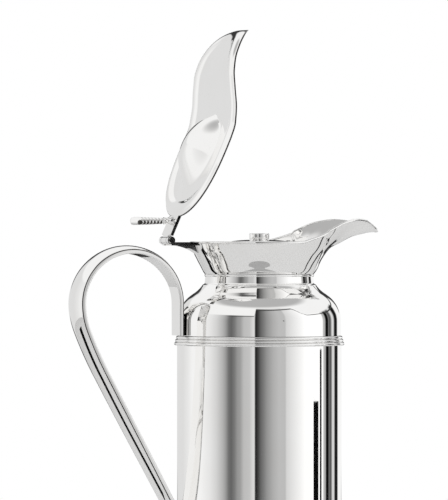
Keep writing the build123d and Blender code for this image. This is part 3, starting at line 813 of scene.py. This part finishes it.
def make_mouth():
    """The mouth casting: outer face, a rolled bead along the edge and inner face, closed at the neck."""
    columns = mouth_columns()
    count = len(columns)
    grid = np.array([[tuple(p) for p in column] for column in columns])
    up = np.gradient(grid, axis=1)
    round_way = np.roll(grid, -1, axis=0) - np.roll(grid, 1, axis=0)
    normal = np.cross(round_way, up)
    normal /= np.maximum(np.linalg.norm(normal, axis=2, keepdims=True), TINY)
    outward = np.sum(normal[:, :, :2] * grid[:, :, :2], axis=2).mean()
    if outward < 0:
        normal = -normal
    up /= np.maximum(np.linalg.norm(up, axis=2, keepdims=True), TINY)
    rings = []
    last = MOUTH_ROWS - 1
    for i in range(count):
        ring = [grid[i, j] for j in range(MOUTH_ROWS - 2)]
        u, n = up[i, last], normal[i, last]
        centre = grid[i, last] - RIM_BEAD * u - MOUTH_T / 2 * n
        for step in range(BEAD_STEPS + 1):
            turn = math.radians(BEAD_START + BEAD_TURN * step / BEAD_STEPS)
            ring.append(centre + RIM_BEAD * (math.cos(turn) * n + math.sin(turn) * u))
        for j in range(last - 2, -1, -2):
            ring.append(grid[i, j] - MOUTH_T * normal[i, j])
        rings.append(ring)
    build = bmesh.new()
    add_grid(build, rings, close_rows=True, close_across=True)
    return finish_mesh("mouth_looks", build, [SILVER_CAST], crease=50.0)


# --- lid: built closed, then turned up about the pin ---
# The lid's outline in plan: round its widest place, and then along its side to the tip.
LEAF_WIDEST = [(-12.0, LID_R - 0.9), (0.0, LID_R), (12.0, LID_R - 0.55)]
LEAF_SIDE = [
    (24.0, 47.9), (36.0, 45.7), (48.0, 42.4), (58.0, 38.4), (66.0, 34.2), (72.0, 30.2), (77.0, 25.6),
    (81.0, 20.0), (84.2, 12.8)]
LIP = 0.9  # width of the thin flat lip round the lid
# The border's section: distance in from the outline and height above the lid's underside.
BORDER_TOP = [
    (0.0, 1.1), (0.12, 1.5), (0.45, 1.72), (LIP, 1.78), (1.3, 1.95), (2.0, 2.6), (3.0, 3.28), (4.2, 3.7),
    (5.4, LID_H), (6.8, 3.72), (8.2, 3.42), (9.6, 2.96), (10.8, 2.42), (11.7, 2.08), (12.9, LID_FIELD)]
BORDER_UNDER = [(0.25, 0.75), (1.4, 0.72), (3.0, 1.7), (5.4, 2.55), (8.2, 2.2), (11.8, 0.86), (12.9, 0.8)]
LIP_COLUMNS = 3  # the outermost faces of the lip, which are painted dark as shade
LEAF_STEPS = 420  # points along the leaf's side before it is shared out
FIELD_ROWS = 8
LID_WAYS = 260
DOME_ROWS = 26
DOME_FOOT_OUT = 0.5  # the small round where the dome meets the field: how far it reaches out and in
DOME_FOOT_IN = 0.35
DOME_EYE = 0.02  # radius of the face that closes the dome's top
DOME_SOFT_WAY = math.radians(-120)  # the side on which the dome eases out into the field
DOME_SOFT_START = 0.35  # and how widely and how gently it does so
DOME_SOFT_SPAN = 1.1
DOME_SOFT_POWER = 1.5


def open_lid(piece):
    """Turns a piece that was built for the closed lid up to the place where the lid is kept."""
    pin = Vector((PIN_X, 0.0, PIN_Z)) * MM
    turn = Matrix.Translation(pin) @ Matrix.Rotation(-LID_OPEN, 4, "Y") @ Matrix.Translation(-pin)
    piece.data.transform(turn)
    return piece


def leaf_line():
    """The lid's outline in plan, closely spaced: from the tip by +Y round the back and along -Y."""
    past_tip = [(x, -y) for x, y in reversed(LEAF_SIDE[-2:])]
    side = smooth_line(LEAF_WIDEST + LEAF_SIDE + [(LID_TIP_X, 0.0)] + past_tip, LEAF_STEPS)
    side = [tuple(p) for p in side if p[0] >= 0.0 and p[1] >= 0.0]
    quarter = []
    for a in np.radians(np.linspace(1, 90, 90)):
        along, across = math.sin(a) ** (2 / LID_POWER), max(math.cos(a), 0.0) ** (2 / LID_POWER)
        quarter.append((-LID_BACK * along, LID_R * across))
    half = list(reversed(side)) + quarter
    return np.array(half + [(x, -y) for x, y in reversed(half[1:-1])])


def inset_radius(outline, way, depth):
    """How far out along a direction one can go and stay depth inside the outline."""
    direction = np.array((math.cos(way), math.sin(way)))
    ends = np.roll(outline, -1, axis=0)
    sides = ends - outline
    lengths = np.maximum(np.sum(sides ** 2, axis=1), 1e-12)
    crosses = direction[0] * sides[:, 1] - direction[1] * sides[:, 0]
    with np.errstate(divide="ignore", invalid="ignore"):
        along = (outline[:, 0] * sides[:, 1] - outline[:, 1] * sides[:, 0]) / crosses
        place = (outline[:, 0] * direction[1] - outline[:, 1] * direction[0]) / crosses
    hits = along[(crosses != 0) & (place >= -1e-6) & (place <= 1 + 1e-6) & (along > 0)]
    far = float(hits.max())
    if depth <= 0:
        return far
    near = 0.0
    for _ in range(24):
        middle = (near + far) / 2
        point = direction * middle
        share = np.clip(np.sum((point - outline) * sides, axis=1) / lengths, 0, 1)
        nearest = np.min(np.linalg.norm(outline + sides * share[:, None] - point, axis=1))
        if nearest < depth:
            far = middle
        else:
            near = middle
    return (near + far) / 2


def lid_height(x):
    return RIM_Z + LID_GAP + read_line(LID_EDGE, x)


def meet_dome(way, drop):
    """How far out the dome meets the field along a direction, the dome's top and its ball's radius."""
    radius = DOME_R - drop
    ball = (radius ** 2 + DOME_H ** 2) / (2 * DOME_H)
    top = RIM_Z + LID_GAP + LID_FIELD + DOME_H - drop
    near, far = 0.0, radius + 3
    for _ in range(30):
        r = (near + far) / 2
        field = lid_height(r * math.cos(way)) + LID_FIELD - drop
        surface = top - ball + math.sqrt(max(ball ** 2 - r ** 2, 0.0))
        if surface > field:
            near = r
        else:
            far = r
    return (near + far) / 2, top, ball


def lid_ring(way, outline, under):
    """Points from the outline in to the middle along one direction, on the lid's top or its underside."""
    out = Vector((math.cos(way), math.sin(way), 0.0))
    section = BORDER_UNDER if under else BORDER_TOP
    drop = LID_T if under else 0.0
    points = []
    for depth, height in section:
        r = inset_radius(outline, way, depth)
        points.append(out * r + Vector((0, 0, lid_height(r * out.x) + height)))
    start = math.hypot(points[-1].x, points[-1].y)
    level = section[-1][1]
    meet, top, ball = meet_dome(way, drop)
    for step in range(1, FIELD_ROWS + 1):
        r = start + (meet + DOME_FOOT_OUT - start) * step / FIELD_ROWS
        points.append(out * r + Vector((0, 0, lid_height(r * out.x) + level)))
    soft = min(1.0, max(0.0, (math.cos(way - DOME_SOFT_WAY) + DOME_SOFT_START) / DOME_SOFT_SPAN))
    edge = top - ball + math.sqrt(ball ** 2 - meet ** 2)
    for step in range(DOME_ROWS):
        r = (meet - DOME_FOOT_IN) * (1 - step / DOME_ROWS) + DOME_EYE
        round_top = math.sqrt(ball ** 2 - r ** 2) - ball + top
        eased = edge + (top - edge) * (1 - (r / meet) ** 2) ** DOME_SOFT_POWER
        points.append(out * r + Vector((0, 0, round_top * (1 - soft) + eased * soft)))
    return points


def make_lid():
    """The lid's sheet: a lip, a rolled border that slopes in to the sunk field, and the dome."""
    outline = leaf_line()
    steps = np.linalg.norm(np.roll(outline, -1, axis=0) - outline, axis=1)
    lengths = np.concatenate([[0.0], np.cumsum(steps)])
    closed = np.vstack([outline, outline[:1]])
    rings = []
    for k in range(LID_WAYS):
        place = lengths[-1] * k / LID_WAYS
        x = float(np.interp(place, lengths, closed[:, 0]))
        y = float(np.interp(place, lengths, closed[:, 1]))
        way = math.atan2(y, x)
        rings.append(lid_ring(way, outline, False)[::-1] + lid_ring(way, outline, True))
    build = bmesh.new()
    rows = add_grid(build, rings, close_rows=True)
    lip_end = len(BORDER_TOP) + FIELD_ROWS + DOME_ROWS
    # the lip's outermost faces get the dark silver as painted shade
    paint_shade_columns(build, len(rings[0]) - 1, range(lip_end - LIP_COLUMNS, lip_end))
    build.faces.new([row[0] for row in rows])
    build.faces.new([row[-1] for row in rows])
    return open_lid(finish_mesh("lid_looks", build, [SILVER_LID, SILVER_PAINTED_SHADE], crease=28.0))


# --- handle: a strap with a crowned outer face, swept along straight runs and arcs ---
HANDLE_START = (-55.8, 187.8)
# Each move is a straight run (length, 0) or an arc (radius, turn in degrees).
HANDLE_MOVES = [
    (21.2, 0.0), (36.1, 90.0), (36.0, 90.0), (50.0, 21.0), (260.0, 7.2), (98.0, 0.0), (64.6, -28.2),
    (11.0, 0.0)]
# Half width and crown by the distance along the strap.
HANDLE_HALF = [
    (0, 9.2), (28, 9.6), (60, 12.4), (95, 15.2), (140, 16.4), (190, 15.8), (240, 14.8), (290, 13.4),
    (345, 11.0)]
HANDLE_CROWN = [(0, 1.8), (28, 1.6), (60, 2.2), (95, 2.8), (200, 2.8), (285, 1.8), (345, 1.0)]
HANDLE_T = 2.8
HANDLE_SPACING = 1.2  # distance between the strap's sections
HANDLE_CORNER = 1.15  # radius of the outer corners
HANDLE_UNDER = 0.45  # radius of the inner corners
HANDLE_WALL = 0.8  # an edge this far above the inner corner keeps the strap's side flat
CROWN_STEPS = 24
UNDER_STEPS = 6
UNDER_SHARE = 0.9  # share of the strap's width that its flat inner face takes up
CORNER_COLUMNS = (26, 27, 28, -6, -5, -4)  # faces of the outer corners that are painted dark as a reflection


def along_move(x, z, heading, size, angle, share):
    """The point a share of the way along one of the strap's moves."""
    if not angle:
        return x + size * share * math.cos(heading), z + size * share * math.sin(heading)
    side = math.copysign(1.0, angle)
    later = heading + angle * share
    return (x + side * size * (math.sin(later) - math.sin(heading)),
            z - side * size * (math.cos(later) - math.cos(heading)))


def handle_places():
    """Points, headings and distances along the strap's outer corner, start to end."""
    x, z = HANDLE_START
    heading = math.pi / 2
    run = 0.0
    out = []
    for size, turn in HANDLE_MOVES:
        angle = math.radians(turn)
        length = size * abs(angle) if turn else size
        count = max(2, round(length / HANDLE_SPACING))
        for step in range(count):
            share = step / count
            point = along_move(x, z, heading, size, angle, share)
            out.append((*point, heading + angle * share, run + length * share))
        x, z = along_move(x, z, heading, size, angle, 1.0)
        heading += angle
        run += length
    out.append((x, z, heading, run))
    return out


def strap_section(half, crown):
    """The strap's section as (across, outward) points: crowned outside, flat inside, with rounded corners."""
    radius = (half ** 2 + crown ** 2) / (2 * crown)
    lean = math.degrees(math.asin(min(1.0, half / radius)))
    c = HANDLE_CORNER
    face = []
    for step in range(CROWN_STEPS + 1):
        y = (-1 + 2 * step / CROWN_STEPS) * (half - c)
        face.append((y, math.sqrt(radius ** 2 - y ** 2) - (radius - crown)))
    edge = face[-1][1]
    low = HANDLE_UNDER
    floor = low - HANDLE_T
    right = arc((half - c, edge - c), c, 90 - lean, 0, 7) + [(half, floor + HANDLE_WALL)]
    right += arc((half - low, floor), low, 0, -90, 4)
    left = [(-y, h) for y, h in reversed(right)]
    inner = half * UNDER_SHARE
    inside = [(inner * (1 - 2 * k / UNDER_STEPS), -HANDLE_T) for k in range(UNDER_STEPS + 1)]
    return face + right + inside + left


def make_handle():
    """The strap, swept along its path, with a painted dark reflection line along each outer corner."""
    build = bmesh.new()
    rings = []
    for x, z, heading, run in handle_places():
        base = Vector((x, 0.0, z))
        out = Vector((math.sin(heading), 0.0, -math.cos(heading)))
        section = strap_section(read_line(HANDLE_HALF, run), read_line(HANDLE_CROWN, run))
        rings.append([base + out * height + Vector((0.0, across, 0.0)) for across, height in section])
    add_tube(build, rings)
    count = len(rings[0])
    # the outer corners' dark line is a painted reflection
    paint_shade_columns(build, count, [column % count for column in CORNER_COLUMNS])
    return finish_mesh("handle_looks", build, [SILVER_CAST, SILVER_PAINTED_SHADE], crease=40.0)


# --- thumbpiece: a gadrooned bar standing back from the lid's leaf ---
THUMB_FOOT = (-51.3, RIM_Z + LID_GAP + 2.7)
THUMB_TILT = math.radians(-24.0)
THUMB_LOBES = 7
THUMB_SLANT = math.radians(24.0)
LOBE_FIRST = 8.6  # height of the first gadroon's middle along the bar, and the pitch of the rest
LOBE_PITCH = 2.6
LOBE_WIDTH = (7.6, 5.4)  # of the first gadroon, and how much it changes by the last
LOBE_RADIUS = (2.0, 0.6)
LOBE_SQUASH = (0.54, -0.1)
LOBE_BLUNTNESS = 6  # higher for blunter ends
LOBE_STEPS = 20
# The dark web between the gadroons is painted shade.
WEB_LOW = 7.5  # above this height the web between the gadroons is left dark
WEB_BACK = 0.8  # and stands this far back
# The bar's height, half depth and half width: a foot, a neck, a small knop and the web.
THUMB_BAR = [
    (0.0, 3.0, 4.6), (0.8, 3.0, 4.5), (2.2, 2.2, 3.9), (3.6, 1.7, 3.4), (4.4, 2.2, 3.9), (5.4, 2.3, 4.1),
    (6.4, 1.6, 3.4), (7.4, 1.2, 3.2), (7.6, 1.3, 3.2), (9.0, 1.3, 3.5), (16.0, 1.6, 4.6), (23.6, 1.8, 5.9),
    (24.4, 0.8, 4.8)]
BAR_STEPS = 24
BAR_ROUNDNESS = 0.7  # 1 for an ellipse, less for a squarer section


def thumb_lobe(build, height, width, radius, squash):
    """One gadroon: a fat slanted bead, tapered to its ends."""
    rings = []
    for i in range(LOBE_STEPS + 1):
        along = -1 + 2 * i / LOBE_STEPS
        fat = radius * math.sqrt(max(0.0, 1 - abs(along) ** LOBE_BLUNTNESS)) + HAIR
        out = along * width / 2
        centre = Vector((0.0, out * math.cos(THUMB_SLANT), height + out * math.sin(THUMB_SLANT)))
        ring = []
        for j in range(LOBE_STEPS):
            a = 2 * math.pi * j / LOBE_STEPS
            ring.append(centre + Vector((fat * math.cos(a), 0.0, squash * fat * math.sin(a))))
        rings.append(ring)
    add_tube(build, rings)


def thumb_bar(build):
    """The bar that carries the gadroons; its web has the second material, painted shade."""
    rings = []
    for height, deep, wide in THUMB_BAR:
        back = WEB_BACK if height > WEB_LOW else 0.0
        ring = []
        for j in range(BAR_STEPS):
            a = 2 * math.pi * j / BAR_STEPS
            c, s = math.cos(a), math.sin(a)
            x = deep * math.copysign(abs(c) ** BAR_ROUNDNESS, c) - back
            y = wide * math.copysign(abs(s) ** BAR_ROUNDNESS, s)
            ring.append(Vector((x, y, height)))
        rings.append(ring)
    shining = len(build.faces)
    add_tube(build, rings)
    build.faces.ensure_lookup_table()
    for face in build.faces[shining:]:
        face.material_index = int(face.calc_center_median().z > WEB_LOW)


def make_thumbpiece():
    """Slanted gadroons, each wider than the one below, on a bar that stands back from the lid."""
    build = bmesh.new()
    for lobe in range(THUMB_LOBES):
        share = lobe / (THUMB_LOBES - 1)
        sizes = [first + change * share for first, change in (LOBE_WIDTH, LOBE_RADIUS, LOBE_SQUASH)]
        thumb_lobe(build, LOBE_FIRST + LOBE_PITCH * lobe, *sizes)
    thumb_bar(build)
    place = Matrix.Translation((THUMB_FOOT[0], 0.0, THUMB_FOOT[1])) @ Matrix.Rotation(THUMB_TILT, 4, "Y")
    bmesh.ops.transform(build, matrix=place, verts=build.verts)
    return open_lid(finish_mesh("thumbpiece_looks", build, [SILVER_CAST, SILVER_PAINTED_SHADE], crease=45.0))


# --- stopper's silver cap and knob ---
CAP_SIDE_TOP = RIM_Z - 0.8
CAP_WALL = 1.0
KNOB_WAIST_R = 5.9
KNOB_BORE_R = 2.0
KNOB_SEAT = CAP_TOP - 0.25
KNOB_LOW_ROUND = 0.5
KNOB_TOP_ROUND = 0.7


def make_stopper_cap():
    """A shallow turned cap: a short skirt and a low crown."""
    inner = CAP_R - CAP_WALL
    skirt = [(inner, CAP_LOW), (CAP_R - 0.3, CAP_LOW), (CAP_R, CAP_LOW + 0.35), (CAP_R, CAP_SIDE_TOP - 0.5)]
    rise = CAP_TOP - CAP_SIDE_TOP
    ways = np.radians(np.linspace(4, 84, 30))
    crown = [(CAP_R * math.cos(a), CAP_SIDE_TOP + rise * math.sin(a) ** 0.9) for a in ways]
    inside = [(r * inner / CAP_R, z - CAP_WALL) for r, z in reversed(crown)]
    outline = skirt + crown + inside + [(inner, CAP_SIDE_TOP - 0.9)]
    return lathe("stopper_cap_looks", outline, SILVER_CAST)


def make_stopper_knob():
    """A flat button on a short waist."""
    low = KNOB_SEAT
    body = [(KNOB_BORE_R, low), (6.0, low), (KNOB_WAIST_R, low + 0.3), (KNOB_WAIST_R, low + 0.5)]
    body += arc((KNOB_R - KNOB_LOW_ROUND, low + 1.1), KNOB_LOW_ROUND, -70, 0, 6)
    body += arc((KNOB_R - KNOB_TOP_ROUND, KNOB_TOP - 0.75), KNOB_TOP_ROUND, 0, 80, 7)
    body += [(4.6, KNOB_TOP - HAIR), (2.2, KNOB_TOP), (KNOB_BORE_R, KNOB_TOP - 0.5)]
    return lathe("stopper_knob_looks", body, SILVER_CAST)


# Each visible piece, the body it rides on and the CAD nodes that it stands for.
PIECES = [
    (make_body_shell, "jug", ["body_shell"]),
    (make_shoulder_shell, "jug", ["shoulder_shell", "neck_bead"]),
    (make_reeded_band, "jug", ["reeded_band"]),
    (make_foot_ring, "jug", ["foot_ring"]),
    (make_mouth, "jug", ["mouth_spout"]),
    (make_handle, "jug", ["handle_strap"]),
    (make_lid, "lid", ["lid_plate"]),
    (make_thumbpiece, "lid", ["thumbpiece"]),
    (make_stopper_cap, "stopper", ["stopper_cap"]),
    (make_stopper_knob, "stopper", ["stopper_knob"]),
]
for make, body, nodes in PIECES:
    piece = make()
    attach(piece, body)
    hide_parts(*nodes)

# CAD nodes that are shown as they are, by material.
CARRIED = [
    (SILVER_CAST, ["hinge_bracket", "hinge_pin", "lid_leaf"]),
    (BRASS, ["base_thread_ring", "stopper_stud"]),
    (FLASK_GLASS, ["flask_outer_glass", "flask_inner_glass"]),
    (FIBRE, ["flask_spacers"]),
    (RUBBER, ["flask_cushion", "neck_cushion", "neck_gasket", "stopper_seal", "base_gasket"]),
    (DARK_PLASTIC, ["pour_collar", "stopper_plug", "base_cap"]),
]
for material, nodes in CARRIED:
    for node in nodes:
        shown = frame["nodes"][node]
        shown.data.materials.clear()
        shown.data.materials.append(material)
